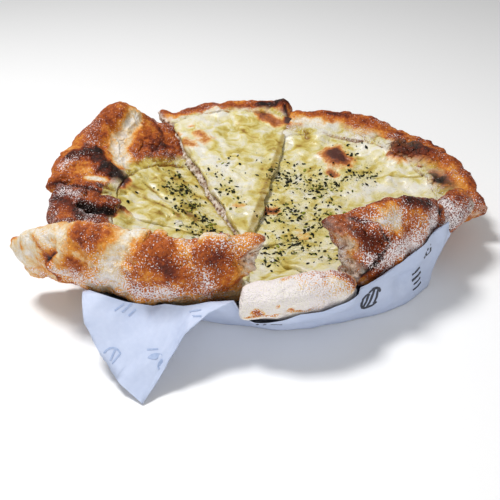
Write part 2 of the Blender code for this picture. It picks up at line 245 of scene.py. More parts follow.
# what is baked or folded into each slice, as rows of start, end, radius, amount and height, in mm.
# A ledge lifts the side of its line where its fourth value, a point, lies, and a pull draws start to end.
# rough: how craggy the crust is, bake: how dark it is, tint: how yellow the cheese is, film: how far cheese
# runs on the crust, dust: how floury the crust is, toast: how brown the cheese gets along the crust.
slices = {}
slices["back_left"] = {
    "bake": 0.53, "tint": 0.55, "film": 12, "dust": 0.14, "toast": 0.1,
    "brown": [
        ((-106, 85, 65), (-113, 82, 61), 9, 0.8, 0.5), ((-104, 84, 63), (-112, 78, 56), 6, 0.85, 1),
        ((-112, 78, 56), (-124, 65, 50), 7, 1, 1.5), ((-91, 75, 42), (-82, 80, 39), 9.5, 1, 4.5),
        ((-86, 97, 46), (-81, 91, 43), 3.5, 1, 1), ((-133, 29, 43), (-138, 24, 42), 5, 0.5, 0)],
    "char": [
        ((-80, 92, 43), (-78, 84, 40), 3, 0.7, 0), ((-138, 42, 48), (-128, 49, 47), 6, 0.75, 2),
        ((-124, 48, 46), (-113, 38, 40), 5.5, 0.95, 2.5), ((-113, 36, 40), (-100, 31, 31), 5.5, 1, 1.5)],
    "gold": [
        ((-112, 70, 48), (-125, 57, 47), 3.5, 1, 0), ((-137, 27, 43), (-123, 31, 40), 4, 1, 0)],
    "pale": [
        ((-98, 86, 57), (-104, 68, 46), 8, 1, -1.5), ((-108, 68, 46), (-102, 50, 38), 8, 1, -2.5),
        ((-120, 24, 37), (-113, 25, 35), 3, 1, 0)],
    "yellow": [
        ((-95, 55, 33), (-76, 62, 31), 7, 1, 0), ((-98, 40, 30), (-70, 40, 25), 8, 0.6, 0)],
    "flour": [
        ((-116, 86, 60), (-131, 58, 50), 6, 0.15, 0), ((-136, 43, 47), (-139, 28, 44), 5, 0.35, 0)],
    "crease": [
        ((-113, 18, 34), (-96, 22, 28), 2, 0.8, -1.5), ((-95, 27, 28), (-58, 8, 21), 1.3, 0.6, -1),
        ((-84, 36, 27), (-50, 6, 19), 1.3, 0.5, -1), ((-83, 70, 36), (-74, 78, 36), 3, 0.6, -1)],
    "ledge": [((-143, 18, 37), (-108, 14, 31), 9, (-125, 30, 40), 1.5)],
    "pull": [((-138, 52, 48), (-132, 52, 45), 20, 1, 0)],
}
slices["left"] = {
    "bake": 0.63, "tint": 0.46, "film": 3, "dust": 0.26, "toast": 0.25,
    "brown": [((-112, 6, 32), (-98, 6, 25), 9, 0.9, 4)],
    "char": [
        ((-143, 14, 34), (-112, 13, 35), 6, 0.85, 1.5), ((-119, -12, 35), (-113, -11, 31), 3, 0.8, -3),
        ((-113, -11, 31), (-99, -7, 26), 2.4, 0.75, -2.5), ((-134, -8, 39), (-116, -22, 34), 5, 0.7, 1)],
    "flour": [((-130, -5, 40), (-113, 4, 34), 4, 0.25, 0)],
    "crumb": [((-99, -13, 27), (-94, -11, 24), 2.5, 1, 0)],
    "crease": [
        ((-89, -14, 21), (-89, -6, 21), 2, 0.4, 0), ((-92, 14, 28), (-80, 5, 22), 2.5, 0.3, -1.5)],
    "ledge": [((-120, -11, 36), (-99, -5, 26), 9, (-110, 8, 34), 3)],
}
slices["front_left"] = {
    "rough": 1.2, "bake": 0.31, "tint": 0.36, "film": 4, "dust": 0.27, "toast": 0.2,
    "brown": [
        ((-96, -95, 66), (-82, -98, 66), 8, 0.92, 2), ((-91, -93, 67), (-86, -93, 67), 4.5, 1, 0.5),
        ((-55, -105, 61), (-50, -107, 54), 13, 0.8, 2.5), ((-29, -105, 59), (-23, -105, 54), 12, 0.8, 2),
        ((-103, -96, 49), (-102, -96, 45), 4.5, 0.9, 0), ((-108, -93, 44), (-105, -93, 38), 3, 0.7, 0),
        ((-6, -98, 56), (-6, -98, 58), 2.2, 0.9, 0), ((-3, -94, 63), (-8, -97, 63), 3, 0.7, 0),
        ((-67, -107, 51), (-62, -108, 42), 8, 0.55, 0), ((-42, -108, 42), (-14, -101, 40), 7, 0.6, 0),
        ((-115, -89, 50), (-120, -85, 43), 2.6, 1, 0.2), ((-120, -85, 43), (-116, -84, 30), 3, 1, 0.2),
        ((-116, -84, 30), (-100, -89, 25), 2.4, 0.9, 0.2), ((-125, -81, 51), (-122, -83, 48), 3, 0.85, 0),
        ((-134, -73, 42), (-134, -74, 42), 2, 0.75, 0), ((-144, -59, 39), (-144, -60, 37), 2.2, 0.95, 0),
        ((-116, -87, 56), (-114, -89, 57), 1.8, 0.5, 0)],
    "char": [
        ((-52, -107, 56), (-50, -108, 53), 4.5, 0.45, 0), ((-27, -105, 58), (-23, -104, 58), 4, 0.4, 0),
        ((-119, -86, 44), (-118, -84, 35), 2.2, 0.6, 0)],
    "gold": [
        ((-93, -100, 54), (-87, -103, 45), 7, 1, 0), ((-41, -107, 57), (-39, -108, 48), 4.5, 0.9, 0),
        ((-139, -66, 25), (-126, -78, 28), 4, 0.8, 0)],
    "pale": [
        ((-74, -97, 66), (-78, -104, 58), 7.5, 1, -1), ((-79, -104, 57), (-80, -104, 46), 6.5, 0.9, -0.5),
        ((-43, -101, 64), (-42, -105, 61), 3, 0.5, -1.5), ((-132, -75, 46), (-114, -88, 60), 8, 0.72, 0),
        ((-147, -61, 33), (-140, -68, 32), 8, 0.72, 0), ((-71, -96, 67), (-65, -97, 66), 3.4, 1, 2.8),
        ((-56, -94, 65), (-53, -95, 64), 2.4, 0.9, 2.4), ((-31, -98, 66), (-21, -97, 66), 3, 1, 2.4)],
    "flour": [
        ((-114, -88, 41), (-106, -90, 32), 3.5, 0.45, 0), ((-110, -90, 34), (-75, -106, 40), 6, 0.25, 0),
        ((-65, -108, 40), (-34, -107, 38), 7, 0.28, 0), ((-15, -99, 65), (-40, -102, 64), 5, 0.15, 0)],
    "crumb": [((-8, -99, 48), (-9, -94, 38), 3, 1, -1)],
    "ledge": [
        ((-112, -91, 51), (-118, -86, 42), 10, (-104, -94, 44), 2.2),
        ((-118, -86, 42), (-116, -85, 26), 10, (-104, -94, 38), 2.4)],
    "pull": [
        ((-130, -78, 50), (-133, -78, 55), 13, 1, 0), ((-148, -61, 36), (-152, -62, 39), 10, 1, 0),
        ((-6, -97, 63), (1, -97, 66), 4.5, 1, 0), ((-6, -98, 55), (-14, -97, 54), 5, 1, 0),
        ((-8, -98, 44), (-3, -98, 43), 5, 1, 0)],
}
slices["front"] = {
    "rough": 0.5, "bake": -0.05, "tint": 0.36, "film": 5, "dust": 0.5, "toast": 0.05,
    "brown": [
        ((10, -106, 52), (36, -103, 51), 5, 0.75, 0), ((39, -101, 49), (46, -99, 43), 6.5, 1, 0.5),
        ((20, -112, 49), (38, -109, 44), 5, 0.4, 0), ((-3, -119, 37), (-1, -119, 35), 2.2, 0.95, 0),
        ((7, -120, 40), (7, -120, 40), 1.2, 0.9, 0), ((13, -119, 37), (14, -119, 37), 1.2, 0.85, 0),
        ((-8, -118, 34), (10, -120, 33), 1.3, 0.75, -0.6), ((12, -119, 35), (30, -115, 34), 1.2, 0.6, -0.6)],
    "flour": [((-2, -112, 46), (30, -110, 44), 14, 0.25, 0)],
    "pull": [((-8, -116, 35), (-12, -118, 31), 8, 1, 0)],
}
slices["front_right"] = {
    "bake": 0.56, "tint": 0.38, "film": 4, "dust": 0.26, "toast": 0.2,
    "brown": [
        ((37, -72, 60), (43, -73, 63), 4, 0.9, 0), ((43, -75, 61), (54, -76, 60), 6, 0.95, 1.5),
        ((54, -76, 60), (63, -78, 50), 6, 0.95, 1.5), ((64, -63, 70), (78, -58, 69), 7, 0.85, 1),
        ((93, -46, 61), (100, -41, 56), 4, 0.7, 1.5), ((71, -74, 52), (80, -66, 56), 9, 0.55, 0),
        ((66, -79, 43), (91, -60, 44), 3.5, 0.35, 0), ((45, -80, 47), (52, -82, 44), 3.6, 1, 0.8),
        ((40, -74, 59), (46, -77, 55), 3.4, 0.95, 0.8), ((46, -78, 58), (53, -80, 50), 5, 0.9, 0.5),
        ((52, -82, 45), (55, -80, 50), 5.5, 0.75, 0), ((65, -79, 37), (55, -83, 33), 2.4, 0.85, 0.5)],
    "char": [
        ((50, -77, 58), (57, -78, 54), 4, 0.45, 0), ((80, -56, 68), (89, -51, 63), 5, 0.8, 1),
        ((100, -42, 56), (103, -39, 50), 2.4, 1, -1.5), ((66, -77, 54), (61, -80, 48), 1.4, 0.6, -0.5),
        ((62, -80, 48), (52, -84, 36), 2.2, 1, -2.5)],
    "gold": [
        ((77, -69, 54), (87, -58, 60), 5, 0.8, 0), ((44, -78, 52), (47, -81, 40), 5, 0.9, 0)],
    "pale": [
        ((66, -67, 69), (72, -70, 60), 5.5, 0.9, -0.8), ((57, -74, 63), (70, -71, 61), 2.5, 0.6, 0),
        ((43, -77, 55), (45, -81, 44), 3.5, 0.8, -1)],
    "flour": [
        ((62, -72, 62), (92, -53, 48), 8, 0.4, 0), ((68, -77, 46), (90, -60, 46), 10, 0.5, 0),
        ((47, -79, 56), (55, -82, 44), 5, 0.3, 0)],
    "crumb": [((42, -76, 50), (43, -78, 40), 3, 1, -2)],
    "ledge": [
        ((46, -73, 64), (58, -76, 62), 8, (48, -78, 56), 2.2),
        ((58, -76, 62), (66, -77, 52), 9, (52, -79, 52), 2.8),
        ((66, -77, 52), (62, -80, 43), 9, (54, -80, 48), 3),
        ((62, -80, 43), (50, -85, 34), 9, (50, -80, 44), 3.4)],
    "pull": [
        ((37, -72, 61), (30, -74, 64), 6, 1, 0), ((40, -75, 52), (45, -76, 52), 5, 1, 0)],
}
slices["right"] = {
    "bake": 0.6, "tint": 0.38, "film": 5, "dust": 0.18, "toast": 0.2,
    "brown": [
        ((111, -5, 42), (118, -13, 47), 6, 0.65, 0), ((117, -17, 46), (123, -21, 38), 4.5, 0.75, 0)],
    "flour": [((106, -25, 46), (121, -22, 36), 10, 0.34, 0)],
    "crumb": [((128, -9, 37), (125, -15, 29), 4.5, 0.9, 0)],
}
slices["back_right"] = {
    "bake": 0.52, "tint": 0.38, "film": 17, "dust": 0.2, "toast": 0,
    "brown": [
        ((14, 131, 48), (26, 123, 46), 4, 0.95, 0), ((26, 124, 46), (59, 114, 47), 4, 0.95, 0),
        ((59, 114, 47), (76, 104, 46), 3.6, 0.9, 0), ((76, 104, 46), (100, 91, 45), 3.6, 0.8, 0),
        ((48, 72, 33), (52, 66, 32), 8, 0.95, 3), ((95, 66, 39), (113, 58, 39), 8, 0.98, 4),
        ((100, 80, 43), (112, 82, 44), 3, 0.9, 0), ((122, 74, 43), (133, 56, 40), 5, 0.85, 0),
        ((133, 56, 40), (142, 18, 31), 6, 0.95, 0), ((115, 39, 36), (121, 27, 32), 5.5, 0.85, 0.5),
        ((46, 54, 28), (48, 50, 28), 3, 0.7, 0), ((-3, 15, 19), (5, 13, 19), 4.5, 0.8, 0),
        ((22, -10, 17), (27, -14, 17), 4, 0.35, 0), ((143, 11, 25), (144, 12, 20), 2.5, 0.6, 0)],
    "char": [
        ((46, 117, 47), (59, 113, 47), 1.8, 0.7, 0), ((44, 64, 31), (48, 62, 31), 3.5, 0.45, 0),
        ((97, 67, 41), (112, 62, 41), 4.5, 0.7, 1), ((112, 82, 44), (124, 71, 42), 2.2, 0.85, 0),
        ((116, 36, 35), (120, 31, 33), 3.5, 0.9, 0)],
    "gold": [
        ((56, 95, 41), (83, 89, 45), 5.5, 1, 0), ((48, 62, 30), (52, 58, 30), 4, 0.9, 0),
        ((96, 56, 36), (116, 52, 37), 4.5, 1, 0), ((128, 45, 38), (135, 20, 32), 5, 0.9, 0)],
    "pale": [
        ((82, 78, 40), (87, 76, 40), 7, 0.6, 2.5), ((25, 112, 43), (47, 100, 42), 6, 0.9, 0),
        ((72, 76, 37), (86, 64, 35), 7, 0.8, 1.5), ((61, 34, 25), (109, 30, 30), 5, 0.8, 1)],
    "yellow": [
        ((27, 86, 34), (33, 60, 28), 6, 0.8, 0), ((20, 105, 41), (32, 92, 36), 4, 0.7, 0),
        ((60, 52, 29), (80, 52, 31), 6, 0.7, 0), ((16, 20, 20), (20, -8, 17), 10, 0.6, 0)],
    "crumb": [((143, 8, 25), (140, 9, 20), 4, 1, 0)],
    "crease": [
        ((76, 80, 38), (83, 88, 44), 1.4, 0.6, -1.2), ((85, 44, 29), (112, 39, 33), 1.8, 0.9, -1.5)],
    "ledge": [
        ((92, 71, 39), (103, 79, 43), 6, (104, 66, 40), 2.5),
        ((103, 79, 43), (119, 77, 43), 6, (108, 66, 40), 2.5),
        ((56, 45, 27), (84, 43, 29), 10, (70, 32, 26), 1.6),
        ((84, 43, 29), (114, 38, 34), 10, (100, 28, 29), 2.4)],
    "pull": [
        ((21, 128, 46), (20, 130, 52), 5, 1, 0), ((98, 90, 45), (97, 89, 42), 20, 1, 0)],
}
slices["back"] = {
    "bake": 0.46, "tint": 0.37, "film": 6, "dust": 0.2, "toast": 0.22,
    "brown": [
        ((-78, 119, 44), (-66, 120, 44), 3.2, 0.85, 0), ((-64, 124, 45), (-50, 127, 46), 4, 0.95, 0),
        ((-49, 128, 47), (-5, 127, 47), 4.5, 0.85, 0), ((-4, 118, 45), (6, 110, 43), 5, 0.7, 0),
        ((-60, 81, 38), (-54, 77, 37), 4.5, 0.55, 0.8), ((-51, 92, 40), (-46, 84, 38), 5, 0.55, 0.8),
        ((-67, 94, 39), (-65, 92, 39), 2.2, 0.5, 0), ((-59, 101, 42), (-57, 101, 42), 2, 0.5, 0),
        ((-42, 88, 39), (-40, 87, 38), 2, 0.45, 0), ((-36, 73, 35), (-34, 72, 35), 1.8, 0.4, 0),
        ((-22, 12, 24), (-17, 12, 24), 3.5, 0.4, 0)],
    "char": [
        ((-4, 128, 48), (17, 128, 50), 4, 0.95, 0), ((14, 124, 46), (15, 112, 43), 3, 0.95, 0)],
    "gold": [((-34, 122, 46), (-6, 120, 46), 4.5, 0.9, 0)],
    "pale": [
        ((-39, 121, 45), (-36, 116, 45), 4, 1, 1.5), ((-70, 108, 43), (-40, 108, 43), 8, 0.5, 0),
        ((-52, 72, 36), (-46, 62, 34), 6, 1, 1.2), ((-30, 50, 31), (-12, 44, 28), 8, 0.5, 0.5)],
    "yellow": [
        ((-31, 104, 41), (-27, 82, 37), 4, 1, -0.5), ((-20, 106, 42), (0, 84, 37), 9, 0.9, 0),
        ((0, 88, 37), (0, 60, 32), 5, 1, -0.5), ((-2, 59, 31), (-6, 24, 22), 5, 1, -0.8),
        ((-32, 72, 35), (-8, 70, 33), 9, 0.55, 0)],
    "pull": [
        ((-79, 118, 43), (-84, 121, 48), 6, 1, 0), ((16, 127, 48), (12, 128, 53), 6, 1, 0)],
}

# materials

timesPlus = {"operation": "MULTIPLY_ADD"}  # input 0 times input 1, plus input 2

cheeseTones = {
    # pools of 18 mm and drawn-out curds of 8 mm
    "pool": {"Scale": 55, "Detail": 2}, "curd": {"Scale": 115, "Detail": 4, "Distortion": 1.1},
    "weights": {"pool": 0.8, "curd": 1.8}, "level": 1.33,
    # whey-white to straw to gold
    "stops": [(0, "#DCD8CA"), (0.22, "#D8D0AE"), (0.42, "#D0C58C"), (0.62, "#C4B25E"), (0.82, "#B0963E"),
              (1, "#8C661C")],
}


def cheeseColour(tree, place, tint):
    level = tint
    for name, weight in cheeseTones["weights"].items():
        pattern = addNode(tree, "ShaderNodeTexNoise", values=cheeseTones[name], links={"Vector": place})
        level = addNode(tree, "ShaderNodeMath", timesPlus, {1: weight}, {0: pattern, 2: level})
    level = addNode(tree, "ShaderNodeMath", {"operation": "SUBTRACT"}, {1: cheeseTones["level"]}, {0: level})
    milk = addNode(tree, "ShaderNodeValToRGB", {"stops": cheeseTones["stops"]}, links={"Fac": level})
    return milk, pattern  # the last pattern, the curds, also shows in the relief


# hearth-baked wheat dough: dull, leopard spotted, dusted with dry flour that catches the light
crustLook = {
    # blotches of 6 mm, grain of 1.6 mm, flour specks of 0.8 mm (drawn coarser than real flour so that they show)
    "noises": ({"Scale": 170, "Detail": 3}, {"Scale": 620, "Detail": 2}, {"Scale": 1250, "Detail": 1}),
    "blotches": 0.45, "grains": 0.40, "level": 0.425, "pores": 330, "specks": 0.45,
    "baked": [(0, "#E6E0D6"), (0.16, "#E0C698"), (0.34, "#DA9036"), (0.52, "#B0581A"), (0.70, "#702A0E"),
              (0.92, "#1E0D08")],
    # crumb: pores darkest at their middle, painted shade inside the pores, to pale cell walls
    "crumb": [(0, "#3E221A"), (0.22, "#7A5442"), (0.42, "#C8B4A0"), (0.8, "#E8DFD4")],
    # hollowShade is painted shade, multiplied in wherever the hollow attribute finds the relief sunken
    "flour": "#E6DEDE", "hollowShade": "#C08E66",
    "dusted": {"From Min": 0.725, "From Max": 0.785, "To Max": 1}, "shaded": {"From Max": 0.9, "To Max": 0.7},
    "rough": {"From Max": 0.8, "To Min": 0.8, "To Max": 0.5}, "bump": {"Strength": 0.8, "Distance": 0.0011},
    "shader": {"Specular IOR Level": 0.25},
}


def flouredCrust():
    look = crustLook
    material, tree, shader, place = newMaterial("hearth_baked_floured_crust")
    bake, flour, crumb, film, hollow, tint = (
        addNode(tree, "ShaderNodeAttribute", {"attribute_name": name}, out="Fac")
        for name in ("bake", "flour", "crumb", "film", "hollow", "tint"))
    blotch, grain, speck = (
        addNode(tree, "ShaderNodeTexNoise", values=values, links={"Vector": place}) for values in look["noises"])
    level = bake
    for pattern, weight in ((blotch, look["blotches"]), (grain, look["grains"])):
        level = addNode(tree, "ShaderNodeMath", timesPlus, {1: weight}, {0: pattern, 2: level})
    level = addNode(tree, "ShaderNodeMath", {"operation": "SUBTRACT"}, {1: look["level"]}, {0: level})
    baked = addNode(tree, "ShaderNodeValToRGB", {"stops": look["baked"]}, links={"Fac": level})
    pit = addNode(tree, "ShaderNodeTexVoronoi", values={"Scale": look["pores"]}, links={"Vector": place})
    airy = addNode(tree, "ShaderNodeValToRGB", {"stops": look["crumb"]}, links={"Fac": pit})
    milk = cheeseColour(tree, place, tint)[0]
    strewn = addNode(tree, "ShaderNodeMath", timesPlus, {1: look["specks"]}, {0: flour, 2: speck})
    dusted = addNode(tree, "ShaderNodeMapRange", values=look["dusted"], links={"Value": strewn})
    # painted shade: the deeper a point lies in the relief, the more the hollow shade colour darkens it
    shaded = addNode(tree, "ShaderNodeMapRange", values=look["shaded"], links={"Value": hollow})
    colour = baked
    for amount, over in ((film, milk), (crumb, airy)):
        colour = addNode(tree, "ShaderNodeMix", {"data_type": "RGBA"}, None, {0: amount, 6: colour, 7: over}, 2)
    for blend, amount, over in (("MIX", dusted, "flour"), ("MULTIPLY", shaded, "hollowShade")):
        colour = addNode(tree, "ShaderNodeMix", {"data_type": "RGBA", "blend_type": blend},
                         {7: linear(look[over])}, {0: amount, 6: colour}, 2)
    height = addNode(tree, "ShaderNodeMath", {"operation": "ADD"}, links={0: grain, 1: speck})
    finishSurface(tree, shader, look, colour, bake, height)
    return material


# melted mozzarella and yellow cheese under herb oil: smooth, a little translucent, greasy
cheeseLook = {
    # grease grain of 1.6 mm, and herb dust of 0.9 mm, drawn larger than it is
    "noises": ({"Scale": 620, "Detail": 2}, {"Scale": 1100, "Detail": 1}),
    "curds": 0.35, "grains": 0.30, "dust": 0.16, "relief": 0.4,
    "toast": [(0.45, "#E9CF8E"), (0.62, "#D99A48"), (0.80, "#A65A22"), (0.97, "#5E2511"), (1, "#4A1C0E")],
    # the hollow shade colour is painted shade for the hollows and painted shadow beside the wedge
    "toasted": {"From Min": 0.50, "From Max": 0.72}, "herbs": "#4E5420", "hollowShade": "#B49C5A",
    "dusted": {"From Min": 0.66, "From Max": 0.74, "To Max": 0.5}, "shaded": {"From Max": 1.8, "To Max": 1},
    "rough": {"To Min": 0.35, "To Max": 0.65}, "bump": {"Strength": 0.5, "Distance": 0.0008},
    "shader": {"IOR": 1.45, "Coat Weight": 0.18, "Coat Roughness": 0.2, "Subsurface Weight": 0.1,
               "Subsurface Radius": (1, 0.7, 0.35), "Subsurface Scale": 0.002},
}


def meltedCheese():
    look = cheeseLook
    material, tree, shader, place = newMaterial("oven_melted_cheese")
    bake, tint, hollow, strewn = (
        addNode(tree, "ShaderNodeAttribute", {"attribute_name": name}, out="Fac")
        for name in ("bake", "tint", "hollow", "herbs"))
    grain, dust = (
        addNode(tree, "ShaderNodeTexNoise", values=values, links={"Vector": place}) for values in look["noises"])
    milk, curd = cheeseColour(tree, place, tint)
    level = bake
    for pattern, weight in ((curd, look["curds"]), (grain, look["grains"])):
        level = addNode(tree, "ShaderNodeMath", timesPlus, {1: weight}, {0: pattern, 2: level})
    toast = addNode(tree, "ShaderNodeValToRGB", {"stops": look["toast"]}, links={"Fac": level})
    toasted = addNode(tree, "ShaderNodeMapRange", values=look["toasted"], links={"Value": level})
    green = addNode(tree, "ShaderNodeMath", timesPlus, {1: look["dust"]}, {0: strewn, 2: dust})
    dusted = addNode(tree, "ShaderNodeMapRange", values=look["dusted"], links={"Value": green})
    # the hollow attribute is painted shade in hollows of the relief and a painted shadow along the shown cuts
    shaded = addNode(tree, "ShaderNodeMapRange", values=look["shaded"], links={"Value": hollow})
    colour = addNode(tree, "ShaderNodeMix", {"data_type": "RGBA"}, None, {0: toasted, 6: milk, 7: toast}, 2)
    for blend, amount, over in (("MIX", dusted, "herbs"), ("MULTIPLY", shaded, "hollowShade")):
        colour = addNode(tree, "ShaderNodeMix", {"data_type": "RGBA", "blend_type": blend},
                         {7: linear(look[over])}, {0: amount, 6: colour}, 2)
    height = addNode(tree, "ShaderNodeMath", timesPlus, {1: look["relief"]}, {0: grain, 2: curd})
    finishSurface(tree, shader, look, colour, curd, height)
    return material


# dried rubbed oregano: matt, nearly black green with a few paler stalks
herbLook = {
    "vein": {"Scale": 900}, "veins": 0.3,
    "stops": [(0.15, "#0E0E07"), (0.6, "#1E200B"), (0.9, "#454A14"), (1, "#868C2A")],
    "rough": {"To Min": 0.6, "To Max": 0.9}, "bump": {"Strength": 0.4, "Distance": 0.0003},
    "shader": {"Specular IOR Level": 0.2},
}


def driedHerbs():
    look = herbLook
    material, tree, shader, place = newMaterial("dried_rubbed_herbs")
    shade = addNode(tree, "ShaderNodeAttribute", {"attribute_name": "shade"}, out="Fac")
    vein = addNode(tree, "ShaderNodeTexNoise", values=look["vein"], links={"Vector": place})
    mixed = addNode(tree, "ShaderNodeMath", timesPlus, {1: look["veins"]}, {0: vein, 2: shade})
    colour = addNode(tree, "ShaderNodeValToRGB", {"stops": look["stops"]}, links={"Fac": mixed})
    finishSurface(tree, shader, look, colour, vein, vein)
    return material


# thin bleached greaseproof paper: cool white, slightly waxy, creased
paperLook = {
    "noises": ({"Scale": 400, "Detail": 4}, {"Scale": 40, "Detail": 2}), "fibres": 0.5,
    "stops": [(0.3, "#A9B6D2"), (1, "#BFC9E0")],
    "rough": {"To Min": 0.45, "To Max": 0.65}, "bump": {"Strength": 0.25, "Distance": 0.0004},
}


def greaseproofPaper():
    look = paperLook
    material, tree, shader, place = newMaterial("bleached_greaseproof_paper")
    fibre, cloud = (
        addNode(tree, "ShaderNodeTexNoise", values=values, links={"Vector": place}) for values in look["noises"])
    tone = addNode(tree, "ShaderNodeMath", timesPlus, {1: look["fibres"]}, {0: fibre, 2: cloud})
    colour = addNode(tree, "ShaderNodeValToRGB", {"stops": look["stops"]}, links={"Fac": tone})
    finishSurface(tree, shader, look, colour, fibre, tone)
    return material


# water-based ink on paper: flat and thin, worn by the folds
inkLook = {
    "worn": {"Scale": 700, "Detail": 2}, "from": 0.35, "to": 0.7,
    "rough": {"To Min": 0.5, "To Max": 0.7}, "bump": {"Strength": 0.2, "Distance": 0.0002},
}


def printedInk(name, dark, pale):
    material, tree, shader, place = newMaterial(name)
    worn = addNode(tree, "ShaderNodeTexNoise", values=inkLook["worn"], links={"Vector": place})
    stops = [(inkLook["from"], dark), (inkLook["to"], pale)]
    colour = addNode(tree, "ShaderNodeValToRGB", {"stops": stops}, links={"Fac": worn})
    finishSurface(tree, shader, inkLook, colour, worn, worn)
    return material


crustMaterial = flouredCrust()
cheeseMaterial = meltedCheese()
herbMaterial = driedHerbs()
paperMaterial = greaseproofPaper()
print("materials made")

# bread and cheese

# relief: size, height and detail of each noise, in mm; lowest: where the underside comes to rest
bread = {
    "voxel": 0.8, "smooth": 4, "lowest": 0.7, "roundings": 2,
    "relief": {"lumps": (14, 5.0, 2), "blisters": (6, 1.6, 1), "crags": (2.4, 1.0, 2)},
    # beside the cheese the crust rises, evenly and raggedly; a cut side has pores and lumps and leans out
    "rises": 1.7, "ragged": 1.5, "pores": 3.2, "lumpy": 1.6, "leans": 3.5,
    # how dark each kind of mark bakes, how unevenly, how much painted shade darkens a crease, and the most flour
    # that sticks
    "brown": 0.62, "char": 0.94, "gold": 0.34, "uneven": 0.22, "crease": 0.4, "mostFlour": 0.8,
}
cheese = {
    "voxel": 0.75, "smooth": 3, "lowest": 0.9, "swell": 0.4, "strands": 0.35,
    "relief": {"lumps": (15, 4.0, 2), "blisters": (6, 0.8, 1), "wrinkles": (2.2, 0.22, 1)},
    # gap: how far cheese stays back from its cut, shadow: how dark it gets beside the wedge,
    # near: how far from bare crust it toasts
    "gap": 0.5, "shadow": 1.6, "near": 6, "brown": 0.80, "char": 0.95, "uneven": 0.10, "pale": 0.4,
}
drawnOver = (0.5, 9.0)  # a slice draws back or spreads over this far from its cut, in mm

# clusters of dried herbs: middle in mm, spread in mm and how many flakes; longest, shortest and thick in mm
herbs = {
    "seed": 21, "stray": 70, "longest": 3.7, "shortest": 1.0, "thick": 0.28,
    "clusters": [
        ((13, 50), 15, 36), ((38, 37), 17, 60), ((67, 48), 13, 22), ((11, 10), 13, 34), ((35, 1), 15, 36),
        ((12, -22), 15, 26), ((29, -28), 13, 18), ((-60, 34), 10, 24), ((-54, 13), 9, 16), ((-43, -6), 9, 16),
        ((62, 75), 10, 8), ((42, -44), 7, 8), ((-25, 57), 14, 5), ((-28, 28), 9, 7), ((-37, 45), 9, 5),
        ((-12, 13), 12, 4), ((-71, 38), 9, 6), ((3, -41), 8, 8), ((-49, 20), 6, 12), ((-57, 38), 6, 12),
        ((-64, 52), 6, 10), ((-43, 3), 5, 10), ((-36, -8), 5, 8),
    ],
    # outline of a flake, along, across and how far it curls up
    "outline": ((-0.5, 0.0, 0.0), (-0.15, -0.5, 0.4), (0.2, -0.42, 0.5), (0.5, 0.05, 0.2), (0.15, 0.5, 0.5),
                (-0.2, 0.4, 0.4)),
}


def cutsOf(name):
    # the cut towards the slice before, then the cut towards the slice after, clockwise
    return [cut for cut in cutLines if cut[1] == name] + [cut for cut in cutLines if cut[0] == name]


def sideDistance(points, cut, name):
    (ax, ay), (bx, by), before, after = cutLines[cut]
    way = np.array((bx - ax, by - ay))
    way /= np.linalg.norm(way)
    across, gape = np.array((way[1], -way[0])), after
    if cut[0] == name:
        across, gape = -across, before
    return (points[:, :2] - (ax, ay)) @ across, across, gape


def fromMiddle(points):
    return points[:, 0] - middle[0], points[:, 1] - middle[1]


def wander(points):
    # a wheel cutter never runs quite straight, and both sides of a cut follow it
    flat = points * (1, 1, 0)
    shift = np.stack([ripple(flat, 11.0, 4.4), ripple(flat, 11.0, 9.9), np.zeros(len(points))], axis=1)
    return 2.2 * shift * ease(4, 20, np.hypot(*fromMiddle(points)))[:, None]


def strandsOf(points):
    # stretched cheese runs from the middle of the round outwards
    dx, dy = fromMiddle(points)
    turn, far = np.arctan2(dx, dy), np.hypot(dx, dy)
    wound, fine = (np.stack([turn * around, far / along, points[:, 2] / 30], axis=1)
                   for around, along in ((14, 16), (36, 14)))
    # most of the strings lie in the two slices on the left
    angle = np.degrees(turn)
    drawn = 0.2 + 0.8 * ease(-125, -100, angle) * (1 - ease(-32, -18, angle))
    return (ripple(wound, 1.0, 5.0) + 0.7 * ripple(fine, 1.0, 8.0)) * ease(5, 30, far) * drawn


def ledge(points, start, end, radius, towards, warp):
    # where a fold stands up, from 0 to 1, and the painted shadow line that runs along its foot
    far = nearSegment(points, start, end) / radius
    line = np.subtract(end, start).astype(float)
    raised = np.subtract(towards, start).astype(float)
    raised -= line * (raised @ line) / (line @ line)
    raised /= np.linalg.norm(raised)
    beside = (points - start) @ raised + 0.6 * warp
    along = ((points - start) @ line) / (line @ line)
    inside = ease(-0.12, 0.05, along) * (1 - ease(0.95, 1.12, along))
    foot = 0.8 * np.exp(-((beside + 0.5) / 0.8) ** 2) * inside * (far < 1)
    return ease(-0.4, 0.6, beside) * (1 - ease(0.3, 1.0, far)) * inside, foot


def applyMarks(points, spec, warp, soft):
    found = {}
    lift, move = np.zeros(len(points)), np.zeros_like(points)
    for kind in ("brown", "char", "gold", "pale", "yellow", "flour", "crumb", "crease"):
        found[kind] = np.zeros(len(points))
        for start, end, radius, amount, height in spec.get(kind, ()):
            far = nearSegment(points, start, end) / (radius * soft) * (1 + 0.55 * warp)
            near = np.exp(-0.9 * far ** (2.8 / soft))
            found[kind] = np.maximum(found[kind], amount * near)
            lift += height * near
    for start, end, radius, towards, height in spec.get("ledge", ()):
        raised, foot = ledge(points, start, end, radius, towards, warp)
        lift += height * raised
        found["crease"] = np.maximum(found["crease"], foot)
    for start, end, radius, amount, height in spec.get("pull", ()):
        near = np.exp(-(nearSegment(points, start, end) / radius) ** 2)
        move += np.outer(amount * near, np.subtract(end, start))
    return found, lift, move


def herbAmount(points):
    total = np.zeros(len(points))
    for (x, y), spread, count in herbs["clusters"]:
        far = ((points[:, 0] - x) ** 2 + (points[:, 1] - y) ** 2) / (spread * 0.9) ** 2
        total += count / spread ** 2 * 6 * np.exp(-far)
    return np.clip(total, 0, 1)


